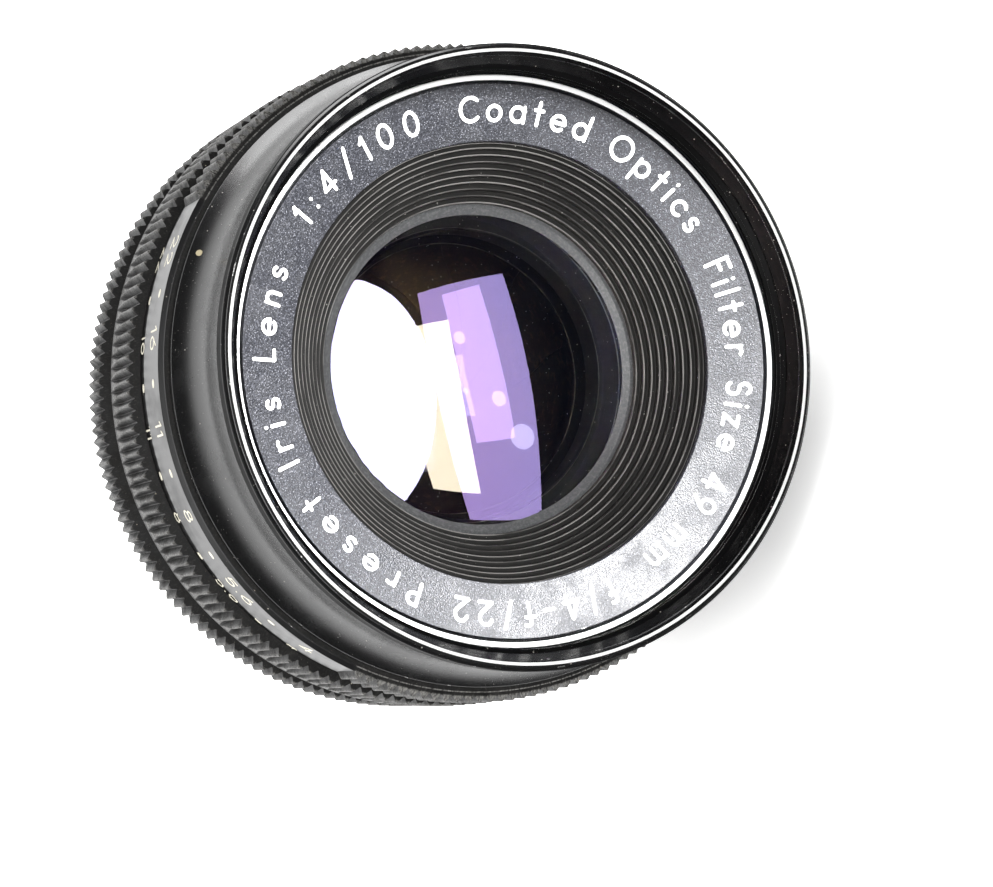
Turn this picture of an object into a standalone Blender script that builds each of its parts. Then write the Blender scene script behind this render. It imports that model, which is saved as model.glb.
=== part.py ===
"""A 100 mm f/4 macro lens with a preset iris, as separate sub-components.

Everything is modelled in the lens's own frame and hung on one empty, optical_axis, which turns that frame
so that the lens faces -Y with its index mark up. In the lens's frame Z is the height above the mount
flange, towards the front, and a clock angle is counted clockwise from the index mark, seen from the front.
Heights, radii and angles are written in millimetres and degrees.
"""

from math import asin, cos, pi, radians, sin, sqrt

import bmesh
import bpy
from mathutils import Matrix, Vector

MM = 0.001

# Overall sizes
FRONT_H = 37.0
THREAD_END_H = -4.2
GRIP_R = 28.8
MERGE_DISTANCE = 0.00001

# How finely round pieces are divided
OUTER_STEPS = 36
INNER_STEPS = 28
GLASS_STEPS = 20
PIN_STEPS = 6

# Front barrel
RIM_R = 26.0
MOUTH_R = 25.3
FILTER_R = 24.45
FILTER_H = (33.6, 35.3)
WAIST_R = 25.3
FLARE_R = 27.2
FLARE_TOP_H = 30.5
FLARE_ARC_R = 7.0
FLARE_ARC_ANGLE = 43.2
BARREL_FOOT_H = 25.15

# Stepped baffle
BAFFLE_TOP_R = 18.6
BAFFLE_TOP_H = 31.0
BAFFLE_FOOT_R = 14.2
BAFFLE_FOOT_H = 25.9
BAFFLE_RIDGES = 9

# Tube that the two rings turn on
BEARING_R = 24.0
RING_BORE_R = 24.3
CELL_BORE_R = 20.4

# Scales: eleven half stops from f/22 to f/4
HALF_STOP = 7.81
HALF_STOPS = 10
RING_TRAVEL = HALF_STOP * HALF_STOPS
SCALE_R = 28.0
APERTURE_SCALE_R = 27.7
PRESET_KNURL_R = 28.5
PRESET_H = (19.75, 24.85)
APERTURE_TOP_H = 19.45
SCALE_ARC = (-86.5, 9.5)

# Iris
BLADES = 10
PIVOT_R = 16.2
STOP_R = 12.3
BLADE_OUTER_R = 17.9
CLOSED_R = 2.2
BLADE_THICKNESS = 0.06
BLADE_SPAN = 132.0
BLADE_END = 6.0
BLADE_RISE_PER_DEGREE = 0.0125
BLADE_FOOT_H = 11.15
BLADE_ROWS = 16
BLADE_PIN_R = 0.4
BLADE_HOLE_R = 0.58
CAM_H = (13.1, 14.0)
SLOT_SAMPLES = 6
INNERMOST = 0.36

# Pins and screws
DRIVE_PIN_ANGLE = 150.0
DRIVE_PIN_H = 13.55
DRIVE_PIN_R = 0.4
STOP_PIN_ANGLE = 100.0
STOP_PIN_RADIUS = 26.2
CLICK_ANGLE = -150.0
CLICK_H = 23.1
CLICK_BALL_R = 0.8
CLICK_GAP = 0.12
CLICK_BORE_END_R = 27.1
COIL_R = 0.6
WIRE_R = 0.12
COIL_TURNS = 3
POINTS_PER_TURN = 8
SPRING_GAP = 0.05
GRIP_SCREW_ANGLES = (-88.0, 32.0, 152.0)
GRIP_SCREW_H = 8.5
MOUNT_SCREW_ANGLES = (60.0, 180.0, 300.0)
MOUNT_SCREW_RADIUS = 22.9

# Screw mount
THREAD_R = 20.9
THREAD_ROOT_R = 20.5

# Name: base colour, metallic, roughness
FINISHES = {
    "black_anodised": ((0.012, 0.012, 0.013), 0.6, 0.3),
    "knurled_anodised": ((0.03, 0.029, 0.027), 0.5, 0.55),
    "crinkle_paint": ((0.02, 0.02, 0.025), 0.1, 0.6),
    "matt_black": ((0.02, 0.019, 0.018), 0.0, 0.8),
    "steel": ((0.5, 0.5, 0.5), 1.0, 0.3),
    "blade_steel": ((0.06, 0.055, 0.05), 0.9, 0.4),
    "chrome": ((0.8, 0.8, 0.8), 1.0, 0.15),
    "coated_glass": ((0.9, 0.92, 1.0), 0.0, 0.02),
}


def clear_scene():
    for item in list(bpy.data.objects):
        bpy.data.objects.remove(item, do_unlink=True)


def new_collection(name):
    collection = bpy.data.collections.new(name)
    bpy.context.scene.collection.children.link(collection)
    return collection


def make_materials():
    """One Principled material for each finish."""
    made = {}
    for name, (colour, metallic, roughness) in FINISHES.items():
        material = bpy.data.materials.new(name)
        material.use_nodes = True
        shader = material.node_tree.nodes["Principled BSDF"]
        shader.inputs["Base Color"].default_value = (*colour, 1.0)
        shader.inputs["Metallic"].default_value = metallic
        shader.inputs["Roughness"].default_value = roughness
        made[name] = material
    return made


clear_scene()
LENS = new_collection("macro_lens")
CUTTERS = new_collection("cutters")
MATERIALS = make_materials()
AXIS = bpy.data.objects.new("optical_axis", None)
AXIS.rotation_euler = (pi / 2, 0.0, 0.0)
LENS.objects.link(AXIS)


def clock(radius, angle, height=0.0):
    """The point at a clock angle, in metres."""
    turn = radians(angle)
    return Vector((radius * sin(turn) * MM, radius * cos(turn) * MM, height * MM))


def add_piece(name, mesh, finish):
    """A sub-component on the optical axis, with its own copy of a finish."""
    piece = bpy.data.objects.new(name, mesh)
    material = MATERIALS[finish].copy()
    material.name = name + "_" + finish
    mesh.materials.clear()
    mesh.materials.append(material)
    LENS.objects.link(piece)
    piece.parent = AXIS
    return piece


def add_cutter(name, mesh):
    cutter = bpy.data.objects.new(name, mesh)
    cutter.hide_render = True
    cutter.display_type = "WIRE"
    CUTTERS.objects.link(cutter)
    cutter.parent = AXIS
    return cutter


def profile_mesh(name, points, closed):
    """A profile in the XZ plane, from (radius, height) points in millimetres."""
    mesh = bpy.data.meshes.new(name)
    count = len(points)
    edges = [(i, i + 1) for i in range(count - 1)]
    if closed:
        edges.append((count - 1, 0))
    mesh.from_pydata([(r * MM, 0.0, h * MM) for r, h in points], edges, [])
    return mesh


def add_screw(piece, steps):
    """Turn the profile once round the axis."""
    screw = piece.modifiers.new("turned", "SCREW")
    screw.steps = steps
    screw.render_steps = steps
    screw.use_merge_vertices = True
    screw.merge_threshold = MERGE_DISTANCE
    screw.use_smooth_shade = True


def ring(name, loop, finish, steps=OUTER_STEPS):
    """A ring: its closed section runs along the top outwards, then down the outer side."""
    piece = add_piece(name, profile_mesh(name, loop, True), finish)
    add_screw(piece, steps)
    return piece


def solid_of_revolution(name, profile, finish, steps):
    """A solid disc or pin: its open profile starts and ends on the axis."""
    piece = add_piece(name, profile_mesh(name, profile, False), finish)
    add_screw(piece, steps)
    return piece


def surface(curve_r, vertex_h, rim_r, samples=4):
    """Points of a lens surface from its vertex to its rim.

    A positive curve radius drops away from the vertex towards the mount, a negative one rises.
    """
    points = []
    for i in range(samples + 1):
        r = rim_r * i / samples
        sag = abs(curve_r) - sqrt(curve_r * curve_r - r * r)
        points.append((r, vertex_h - sag if curve_r > 0 else vertex_h + sag))
    return points


def element(name, front, rear, rim_r):
    """A glass element between two (curve radius, vertex height) surfaces."""
    front_points = surface(*front, rim_r)
    rear_points = surface(*rear, rim_r)
    return solid_of_revolution(name, front_points + rear_points[::-1], "coated_glass", GLASS_STEPS)


def rod_mesh(name, radius, length, steps=PIN_STEPS):
    """A closed rod along Z from the origin."""
    mesh = bpy.data.meshes.new(name)
    form = bmesh.new()
    bmesh.ops.create_cone(form, cap_ends=True, segments=steps, radius1=radius * MM, radius2=radius * MM,
                          depth=length * MM, matrix=Matrix.Translation((0.0, 0.0, length * MM / 2)))
    form.to_mesh(mesh)
    form.free()
    return mesh


def stand_radially(item, radius, angle, height):
    """Point a rod outwards from the axis, starting at a radius."""
    item.location = clock(radius, angle, height)
    outwards = clock(1.0, angle)
    item.rotation_euler = outwards.to_track_quat("Z", "Y").to_euler()


def sector_outline(inner_r, outer_r, start, end):
    """Outline of a ring sector between two clock angles, a point about every eight degrees."""
    count = max(2, round((end - start) / 8.0))
    angles = [start + (end - start) * i / count for i in range(count + 1)]
    return [clock(outer_r, a) for a in angles] + [clock(inner_r, a) for a in reversed(angles)]


def flat_mesh(name, outline, low, high):
    """A flat plate with any outline, between two heights."""
    curve = bpy.data.curves.new(name + "_outline", "CURVE")
    curve.dimensions = "2D"
    curve.fill_mode = "BOTH"
    curve.extrude = (high - low) * MM / 2
    spline = curve.splines.new("POLY")
    spline.points.add(len(outline) - 1)
    for point, place in zip(spline.points, outline):
        point.co = (place.x, place.y, 0.0, 1.0)
    spline.use_cyclic_u = True
    drawn = bpy.data.objects.new(name + "_outline", curve)
    bpy.context.scene.collection.objects.link(drawn)
    depsgraph = bpy.context.evaluated_depsgraph_get()
    mesh = bpy.data.meshes.new_from_object(drawn.evaluated_get(depsgraph))
    bpy.data.objects.remove(drawn)
    form = bmesh.new()
    form.from_mesh(mesh)
    bmesh.ops.remove_doubles(form, verts=form.verts, dist=MERGE_DISTANCE)
    bmesh.ops.translate(form, verts=form.verts, vec=(0.0, 0.0, (low + high) * MM / 2))
    bmesh.ops.recalc_face_normals(form, faces=form.faces)
    form.to_mesh(mesh)
    form.free()
    mesh.name = name
    return mesh


def joined(name, meshes_and_places):
    """One mesh of several separate solids, each moved by its matrix."""
    form = bmesh.new()
    for mesh, place in meshes_and_places:
        copy = mesh.copy()
        copy.transform(place)
        form.from_mesh(copy)
        bpy.data.meshes.remove(copy)
    mesh = bpy.data.meshes.new(name)
    form.to_mesh(mesh)
    form.free()
    return mesh


def combine(piece, cutter, operation="DIFFERENCE"):
    step = piece.modifiers.new(cutter.name, "BOOLEAN")
    step.operation = operation
    step.solver = "EXACT"
    step.object = cutter


def radial_place(radius, angle, height):
    """Matrix of a rod that points outwards."""
    turn = clock(1.0, angle).to_track_quat("Z", "Y").to_matrix().to_4x4()
    return Matrix.Translation(clock(radius, angle, height)) @ turn


def build_front_barrel():
    """Front shell: flared mouth with the filter thread, waist and concave flare."""
    flare = []
    for i in range(6):
        turn = radians(FLARE_ARC_ANGLE * i / 5)
        flare.append((WAIST_R + FLARE_ARC_R * (1 - cos(turn)), FLARE_TOP_H - FLARE_ARC_R * sin(turn)))
    thread_foot, thread_top = FILTER_H
    loop = [(MOUTH_R, FRONT_H), (RIM_R - 0.15, FRONT_H), (RIM_R, FRONT_H - 0.15), (RIM_R, 35.3),
            (WAIST_R, 35.1)]
    loop += flare
    loop += [(FLARE_R, BARREL_FOOT_H + 0.1), (FLARE_R - 0.1, BARREL_FOOT_H), (24.1, BARREL_FOOT_H),
             (24.1, thread_foot), (FILTER_R, thread_foot), (FILTER_R, thread_top)]
    ring("front_barrel", loop, "black_anodised")


def build_name_ring():
    """Dished ring with a raised lip, screwed into the front barrel."""
    loop = [(23.4, 33.3), (23.55, 33.4), (23.8, 33.4), (23.9, 33.25), (23.9, 31.2), (18.65, 31.2),
            (18.65, 31.75)]
    ring("name_ring", loop, "crinkle_paint", INNER_STEPS)


def build_front_baffle():
    """Stepped cone that stops stray light round the front element."""
    drop = (BAFFLE_TOP_H - BAFFLE_FOOT_H) / BAFFLE_RIDGES
    inset = (BAFFLE_TOP_R - BAFFLE_FOOT_R) / BAFFLE_RIDGES
    steps = []
    for i in range(BAFFLE_RIDGES):
        r = BAFFLE_FOOT_R + inset * (i + 1)
        low = BAFFLE_FOOT_H + drop * i
        steps += [(r, low + drop * 0.5), (r, low + drop)]
    loop = [(21.6, BAFFLE_TOP_H), (21.6, 29.95), (19.6, 29.95), (15.4, BAFFLE_FOOT_H),
            (BAFFLE_FOOT_R, BAFFLE_FOOT_H)]
    ring("front_baffle", loop + steps, "matt_black", INNER_STEPS)


def build_front_group():
    """Cemented front pair, its cell and the ring that holds it."""
    ring("front_retaining_ring", [(13.95, 25.8), (15.3, 25.8), (15.3, 24.6), (14.65, 24.6),
                                  (14.45, 24.95), (13.35, 25.4), (13.35, 25.5)], "matt_black", INNER_STEPS)
    element("front_element", (33.0, 28.1), (-38.0, 21.5), 14.4)
    element("second_element", (-38.0, 21.44), (160.0, 20.2), 14.4)
    ring("front_cell", [(19.95, 29.7), (21.6, 29.7), (21.6, 29.05), (20.1, 29.05), (20.1, 14.3),
                        (16.65, 14.3), (16.65, 18.9), (13.6, 18.9), (13.6, 19.3), (14.6, 19.3),
                        (14.6, 24.3), (15.6, 24.3), (15.8, 25.7)], "black_anodised", INNER_STEPS)


def build_center_group():
    """Biconcave centre element and its screwed cell."""
    element("center_element", (-42.0, 17.5), (36.0, 16.45), 11.6)
    ring("center_cell", [(11.75, 18.6), (16.4, 18.6), (16.4, 14.2), (11.0, 14.2), (11.0, 14.3),
                         (11.75, 14.3)], "matt_black", INNER_STEPS)


def build_rear_group():
    """Cemented rear pair, its cell and the ring that holds it."""
    element("fourth_element", (-160.0, 9.0), (36.0, 7.7), 12.95)
    element("rear_element", (36.0, 7.64), (-40.0, 2.4), 12.95)
    ring("rear_cell", [(12.5, 9.85), (16.65, 9.85), (16.65, 2.6), (14.05, 2.6), (14.05, 4.5),
                       (13.2, 4.5), (13.2, 9.65), (12.5, 9.65)], "black_anodised", INNER_STEPS)
    ring("rear_retaining_ring", [(12.9, 4.3), (13.85, 4.3), (13.85, 2.7), (12.4, 2.7), (11.9, 3.5),
                                 (11.9, 3.95)], "matt_black", INNER_STEPS)


def closing_angle():
    """How far a blade turns about its pivot from wide open to the smallest stop."""
    return 2 * asin((STOP_R - CLOSED_R) / (2 * PIVOT_R))


def blade_point(along, radius, height):
    """A point of an open blade, relative to its pivot at the clock position zero."""
    point = clock(radius, -along, height)
    return point - clock(PIVOT_R, 0.0)


def blade_edges(along):
    """Inner and outer radius of a blade at an angle along it, with rounded ends."""
    reach = min(along + BLADE_END, BLADE_SPAN + BLADE_END - along)
    inner_part = min(1.0, max(0.04, reach / 14.0))
    outer_part = min(1.0, max(0.04, reach / 6.0))
    inner = PIVOT_R - (PIVOT_R - STOP_R) * sqrt(1 - (1 - inner_part) ** 2)
    outer = PIVOT_R + (BLADE_OUTER_R - PIVOT_R) * sqrt(1 - (1 - outer_part) ** 2)
    return inner, outer


def blade_height(along):
    """A blade climbs along its arc, so that each one lies over the next."""
    return BLADE_FOOT_H + BLADE_RISE_PER_DEGREE * (along + BLADE_END)


def make_blade_mesh():
    """Thin climbing crescent, whose thickness comes from Solidify."""
    form = bmesh.new()
    rows = []
    for i in range(BLADE_ROWS + 1):
        along = -BLADE_END + (BLADE_SPAN + 2 * BLADE_END) * i / BLADE_ROWS
        inner, outer = blade_edges(along)
        height = blade_height(along)
        rows.append([form.verts.new(blade_point(along, r, height)) for r in (outer, inner)])
    for first, second in zip(rows, rows[1:]):
        form.faces.new((first[0], first[1], second[1], second[0]))
    bmesh.ops.recalc_face_normals(form, faces=form.faces)
    mesh = bpy.data.meshes.new("blade")
    form.to_mesh(mesh)
    form.free()
    return mesh


def drive_pin_offset():
    return clock(PIVOT_R, -BLADE_SPAN) - clock(PIVOT_R, 0.0)


def build_iris_blades():
    """Ten blades at their smallest stop, each placed on its own pivot."""
    blade_mesh = make_blade_mesh()
    pivot_pin = rod_mesh("pivot_pin", BLADE_PIN_R, 0.8)
    drive_pin = rod_mesh("drive_pin", BLADE_PIN_R, 0.8)
    pins = joined("blade_pins", [
        (pivot_pin, Matrix.Translation((0.0, 0.0, (blade_height(0.0) - 0.74) * MM))),
        (drive_pin, Matrix.Translation(drive_pin_offset()
                                       + Vector((0.0, 0.0, (blade_height(BLADE_SPAN) - 0.06) * MM)))),
    ])
    for i in range(BLADES):
        blade = add_piece(f"iris_blade_{i + 1:02d}", blade_mesh.copy(), "blade_steel")
        station = i * 360.0 / BLADES
        blade.location = clock(PIVOT_R, station)
        blade.rotation_euler = (0.0, 0.0, closing_angle() - radians(station))
        sheet = blade.modifiers.new("sheet", "SOLIDIFY")
        sheet.thickness = BLADE_THICKNESS * MM
        sheet.offset = 0.0
        pin_pair = add_cutter(f"blade_pins_{i + 1:02d}", pins)
        pin_pair.location = blade.location
        pin_pair.rotation_euler = blade.rotation_euler
        combine(blade, pin_pair, "UNION")


def cam_slot_outline(station):
    """Slot that a blade's drive pin follows, worked out by turning the ring back under the moving pin.

    The pin runs in towards the axis until the blade has turned by INNERMOST of its way open, so the slot
    is drawn from there outwards, with its ends a pin's width further on.
    """
    path = []
    for i in range(SLOT_SAMPLES):
        opened = INNERMOST + (1 - INNERMOST) * i / (SLOT_SAMPLES - 1)
        swing = Matrix.Rotation(closing_angle() * (1 - opened), 3, "Z")
        pin = clock(PIVOT_R, 0.0) + swing @ drive_pin_offset()
        path.append(Matrix.Rotation(radians(RING_TRAVEL * opened - station), 3, "Z") @ pin)
    half_width = BLADE_HOLE_R * MM
    inner_end = path[0] + (path[0] - path[-1]).normalized() * half_width
    outer_end = path[-1] + (path[-1] - path[-2]).normalized() * half_width
    path = [inner_end] + path + [outer_end]
    left, right = [], []
    for i, here in enumerate(path):
        ahead = path[min(i + 1, len(path) - 1)] - path[max(i - 1, 0)]
        side = ahead.cross(Vector((0.0, 0.0, 1.0))).normalized() * half_width
        left.append(here + side)
        right.append(here - side)
    return left + right[::-1]


def build_iris_drive():
    """Fixed pivot plate and the slotted ring that swings the blades."""
    housing = ring("iris_housing", [(18.6, 12.7), (20.2, 12.7), (20.2, 10.1), (12.4, 10.1), (12.4, 10.85),
                                    (18.6, 10.85)], "matt_black", INNER_STEPS)
    hole = rod_mesh("pivot_hole", BLADE_HOLE_R, 2.0)
    stations = [i * 360.0 / BLADES for i in range(BLADES)]
    holes = joined("pivot_holes", [(hole, Matrix.Translation(clock(PIVOT_R, s, 9.5))) for s in stations])
    combine(housing, add_cutter("pivot_holes", holes))

    low, high = CAM_H
    cam = ring("iris_cam_ring", [(12.5, high), (19.8, high), (19.8, low), (12.5, low)], "steel", INNER_STEPS)
    slots = [flat_mesh("cam_slot", cam_slot_outline(s), low - 0.5, high + 0.5) for s in stations]
    slots.append(flat_mesh("drive_notch", sector_outline(18.2, 20.5, DRIVE_PIN_ANGLE - 2.2,
                                                         DRIVE_PIN_ANGLE + 2.2), low - 0.5, high + 0.5))
    combine(cam, add_cutter("cam_slots", joined("cam_slots", [(s, Matrix.Identity(4)) for s in slots])))


def build_main_barrel():
    """Tube with the web that holds the iris, the slot for the drive pin and the click notches."""
    barrel = ring("main_barrel", [(CELL_BORE_R, 28.75), (23.7, 28.75), (23.7, 25.1), (BEARING_R, 25.0),
                                  (BEARING_R, 2.6), (CELL_BORE_R, 2.6), (CELL_BORE_R, 8.2), (16.95, 8.2),
                                  (16.95, 9.8), (CELL_BORE_R, 9.8)], "black_anodised")
    slot = flat_mesh("drive_slot", sector_outline(19.0, 25.5, DRIVE_PIN_ANGLE - 4.0,
                                                  DRIVE_PIN_ANGLE + RING_TRAVEL + 4.0), 12.9, 14.2)
    notch = rod_mesh("click_notch", 0.6, 1.8, 6)
    cuts = [(slot, Matrix.Identity(4))]
    for i in range(HALF_STOPS + 1):
        angle = CLICK_ANGLE + HALF_STOP * i
        cuts.append((notch, Matrix.Translation(clock(BEARING_R + 0.35, angle, CLICK_H - 0.9))))
    screw_hole = rod_mesh("grip_screw_hole", 1.05, 3.0)
    cuts += [(screw_hole, radial_place(22.5, a, GRIP_SCREW_H)) for a in GRIP_SCREW_ANGLES]
    axial_hole = rod_mesh("mount_screw_hole", 0.85, 4.0)
    cuts += [(axial_hole, Matrix.Translation(clock(MOUNT_SCREW_RADIUS, a, 2.0))) for a in MOUNT_SCREW_ANGLES]
    combine(barrel, add_cutter("main_barrel_cuts", joined("main_barrel_cuts", cuts)))


def build_preset_ring():
    """Front control ring: knurled except along its scale, with a click ball and a stop pin."""
    low, high = PRESET_H
    body = ring("preset_ring", [(RING_BORE_R, high), (27.6, high), (SCALE_R, high - 0.2),
                                (PRESET_KNURL_R, high - 0.55), (PRESET_KNURL_R, low + 0.45), (27.9, low),
                                (RING_BORE_R, low)], "knurled_anodised")
    scale_cut = flat_mesh("scale_cut", sector_outline(SCALE_R, 30.0, *SCALE_ARC), low - 0.5, high + 0.5)
    bore = rod_mesh("click_bore", CLICK_BALL_R + 0.2, 3.5)
    pin_hole = rod_mesh("stop_pin_hole", 0.75, 2.0)
    cuts = [(scale_cut, Matrix.Identity(4)),
            (bore, radial_place(23.6, CLICK_ANGLE, CLICK_H)),
            (pin_hole, Matrix.Translation(clock(STOP_PIN_RADIUS, STOP_PIN_ANGLE, low - 0.35)))]
    combine(body, add_cutter("preset_ring_cuts", joined("preset_ring_cuts", cuts)))

    pin = add_piece("preset_stop_pin", rod_mesh("preset_stop_pin", 0.5, 2.1), "steel")
    pin.location = clock(STOP_PIN_RADIUS, STOP_PIN_ANGLE, low - 0.75)
    build_click(CLICK_ANGLE)


def build_click(angle):
    """Ball that faces the notches and the coil spring behind it."""
    mesh = bpy.data.meshes.new("click_ball")
    form = bmesh.new()
    bmesh.ops.create_uvsphere(form, u_segments=12, v_segments=8, radius=CLICK_BALL_R * MM)
    form.to_mesh(mesh)
    form.free()
    ball = add_piece("click_ball", mesh, "steel")
    ball.location = clock(BEARING_R + CLICK_GAP + CLICK_BALL_R, angle, CLICK_H)

    start = BEARING_R + CLICK_GAP + 2 * CLICK_BALL_R + WIRE_R + SPRING_GAP
    length = CLICK_BORE_END_R - WIRE_R - SPRING_GAP - start
    curve = bpy.data.curves.new("click_spring", "CURVE")
    curve.dimensions = "3D"
    curve.bevel_depth = WIRE_R * MM
    curve.bevel_resolution = 1
    curve.use_fill_caps = True
    spline = curve.splines.new("POLY")
    count = COIL_TURNS * POINTS_PER_TURN
    spline.points.add(count)
    for i, point in enumerate(spline.points):
        turn = 2 * pi * i / POINTS_PER_TURN
        point.co = (COIL_R * cos(turn) * MM, COIL_R * sin(turn) * MM, length * i / count * MM, 1.0)
    spring = add_piece("click_spring", curve, "steel")
    stand_radially(spring, start, angle, CLICK_H)


def build_aperture_ring():
    """Rear control ring with its own scale, knurl, arc groove and drive pin."""
    top = APERTURE_TOP_H
    body = ring("aperture_ring", [(RING_BORE_R, top), (APERTURE_SCALE_R - 0.2, top),
                                  (APERTURE_SCALE_R, top - 0.2), (APERTURE_SCALE_R, 17.55), (GRIP_R, 16.9),
                                  (GRIP_R, 11.4), (28.3, 10.2), (27.5, 9.8), (RING_BORE_R, 9.8)],
                "knurled_anodised")
    groove_reach = RING_TRAVEL + 3.0
    groove = flat_mesh("stop_groove", sector_outline(STOP_PIN_RADIUS - 0.85, STOP_PIN_RADIUS + 0.85,
                                                     STOP_PIN_ANGLE - groove_reach,
                                                     STOP_PIN_ANGLE + groove_reach), top - 0.9, top + 0.4)
    pin_hole = rod_mesh("drive_pin_hole", DRIVE_PIN_R + 0.3, 2.3)
    cuts = [(groove, Matrix.Identity(4)), (pin_hole, radial_place(23.6, DRIVE_PIN_ANGLE, DRIVE_PIN_H))]
    combine(body, add_cutter("aperture_ring_cuts", joined("aperture_ring_cuts", cuts)))

    pin = add_piece("aperture_drive_pin", rod_mesh("aperture_drive_pin", DRIVE_PIN_R, 6.9), "steel")
    stand_radially(pin, 18.7, DRIVE_PIN_ANGLE, DRIVE_PIN_H)
    ring("friction_washer", [(24.45, 9.68), (26.6, 9.68), (26.6, 9.42), (24.45, 9.42)], "steel")


def build_grip_ring():
    """Fixed knurled ring at the rear, held by three set screws."""
    body = ring("grip_ring", [(26.8, 9.5), (27.4, 9.5), (27.4, 6.8), (GRIP_R, 6.1), (GRIP_R, 3.0),
                              (28.3, 2.5), (RING_BORE_R, 2.5), (RING_BORE_R, 9.3), (26.8, 9.3)],
                "knurled_anodised")
    hole = rod_mesh("set_screw_hole", 1.05, 6.0)
    cuts = joined("grip_ring_cuts", [(hole, radial_place(23.0, a, GRIP_SCREW_H)) for a in GRIP_SCREW_ANGLES])
    combine(body, add_cutter("grip_ring_cuts", cuts))
    for i, angle in enumerate(GRIP_SCREW_ANGLES):
        screw = add_piece(f"grip_screw_{i + 1}", rod_mesh(f"grip_screw_{i + 1}", 0.8, 4.4), "steel")
        stand_radially(screw, 22.8, angle, GRIP_SCREW_H)


def build_mount():
    """Seating flange with its screw thread, three countersunk screws and a light shield.

    A groove under the flange's inner edge lets the lens screw home against a camera's flat front.
    """
    flange = [(19.0, 2.3), (26.3, 2.3), (26.3, 0.35), (25.95, 0.0), (21.05, 0.0), (20.95, 0.3)]
    screw_thread = [(THREAD_ROOT_R, 0.3), (THREAD_ROOT_R, -0.6), (THREAD_R, -0.8), (THREAD_R, -3.9),
                    (THREAD_ROOT_R, THREAD_END_H), (19.0, THREAD_END_H)]
    body = ring("mount_ring", flange + screw_thread, "chrome")
    profile = [(0.0, 3.0), (0.9, 3.0), (0.9, 1.15), (1.65, 0.2), (1.65, -0.5), (0.0, -0.5)]
    hole = profile_mesh("countersink", profile, False)
    turned = add_cutter("countersink_form", hole)
    add_screw(turned, 12)
    depsgraph = bpy.context.evaluated_depsgraph_get()
    countersink = bpy.data.meshes.new_from_object(turned.evaluated_get(depsgraph))
    bpy.data.objects.remove(turned)
    places = [(countersink, Matrix.Translation(clock(MOUNT_SCREW_RADIUS, a))) for a in MOUNT_SCREW_ANGLES]
    combine(body, add_cutter("countersinks", joined("countersinks", places)))
    for i, angle in enumerate(MOUNT_SCREW_ANGLES):
        screw = solid_of_revolution(f"mount_screw_{i + 1}", [(0.0, 5.5), (0.6, 5.5), (0.6, 1.1), (1.4, 0.3),
                                                             (1.4, 0.1), (0.0, 0.1)], "steel", 12)
        screw.location = clock(MOUNT_SCREW_RADIUS, angle)
    ring("rear_light_shield", [(13.2, 2.35), (18.7, 1.0), (18.7, -0.2), (18.2, -0.2), (13.2, 1.75)],
         "matt_black", INNER_STEPS)


def shade_all():
    for item in LENS.objects:
        if item.type == "MESH" and item.data.polygons:
            item.data.shade_smooth()
            item.data.set_sharp_from_angle(angle=radians(30.0))


build_front_barrel()
build_name_ring()
build_front_baffle()
build_front_group()
build_center_group()
build_iris_drive()
build_iris_blades()
build_rear_group()
build_main_barrel()
build_preset_ring()
build_aperture_ring()
build_grip_ring()
build_mount()
shade_all()
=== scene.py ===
"""Looks of a black-anodised 100 mm macro lens with a preset iris.

Heights, radii and angles are in millimetres and degrees, in the lens's own frame: height counts from the
mount flange towards the front, and a clock angle counts clockwise from the index mark, seen from the front.
"""

from math import asin, atan2, copysign, cos, degrees, hypot, pi, radians, sin, sqrt

import bpy
from mathutils import Matrix, Vector


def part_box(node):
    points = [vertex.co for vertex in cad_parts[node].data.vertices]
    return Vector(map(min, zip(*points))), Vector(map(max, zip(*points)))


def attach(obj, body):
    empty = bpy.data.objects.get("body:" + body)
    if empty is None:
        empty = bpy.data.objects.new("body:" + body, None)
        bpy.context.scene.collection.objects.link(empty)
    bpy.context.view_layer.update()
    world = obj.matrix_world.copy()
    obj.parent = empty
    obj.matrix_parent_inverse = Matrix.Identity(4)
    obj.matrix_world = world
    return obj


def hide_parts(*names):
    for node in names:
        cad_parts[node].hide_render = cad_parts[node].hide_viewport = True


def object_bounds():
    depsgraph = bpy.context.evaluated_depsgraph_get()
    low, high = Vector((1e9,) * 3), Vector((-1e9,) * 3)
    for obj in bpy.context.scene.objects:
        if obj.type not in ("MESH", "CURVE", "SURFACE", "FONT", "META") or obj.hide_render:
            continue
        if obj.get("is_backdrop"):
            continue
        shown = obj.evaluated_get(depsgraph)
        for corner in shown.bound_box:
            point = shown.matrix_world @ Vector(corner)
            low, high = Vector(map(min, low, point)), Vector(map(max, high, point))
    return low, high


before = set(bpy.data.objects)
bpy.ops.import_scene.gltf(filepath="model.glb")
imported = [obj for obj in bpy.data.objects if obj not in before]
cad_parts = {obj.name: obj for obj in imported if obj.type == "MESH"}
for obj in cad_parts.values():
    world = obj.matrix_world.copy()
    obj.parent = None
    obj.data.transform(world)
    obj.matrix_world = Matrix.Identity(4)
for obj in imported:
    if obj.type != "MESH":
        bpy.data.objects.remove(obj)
CAD_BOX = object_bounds()

MM = 0.001

# Camera: where it stands seen from the point that it looks at, in degrees and metres
CAMERA_AIM = (-0.0069, -0.0322, -0.0014)
CAMERA_AZIMUTH = -12.04
CAMERA_ELEVATION = 17.82
CAMERA_ROLL = 67.96
CAMERA_DISTANCE = 0.25
CAMERA_LENS = 108.76

# Sizes that come from the frame
FRONT_H = -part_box("front_barrel")[0].y / MM
RIM_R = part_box("mount_ring")[1].x / MM - 0.3
GRIP_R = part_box("grip_ring")[1].x / MM
THREAD_END_H = -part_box("mount_ring")[1].y / MM

# Front shell: its waist, and the hollow arc of its flare
WAIST_R = 25.3
WAIST_FOOT_H = 30.5
FLARE_CURVE_R = 7.0

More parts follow.
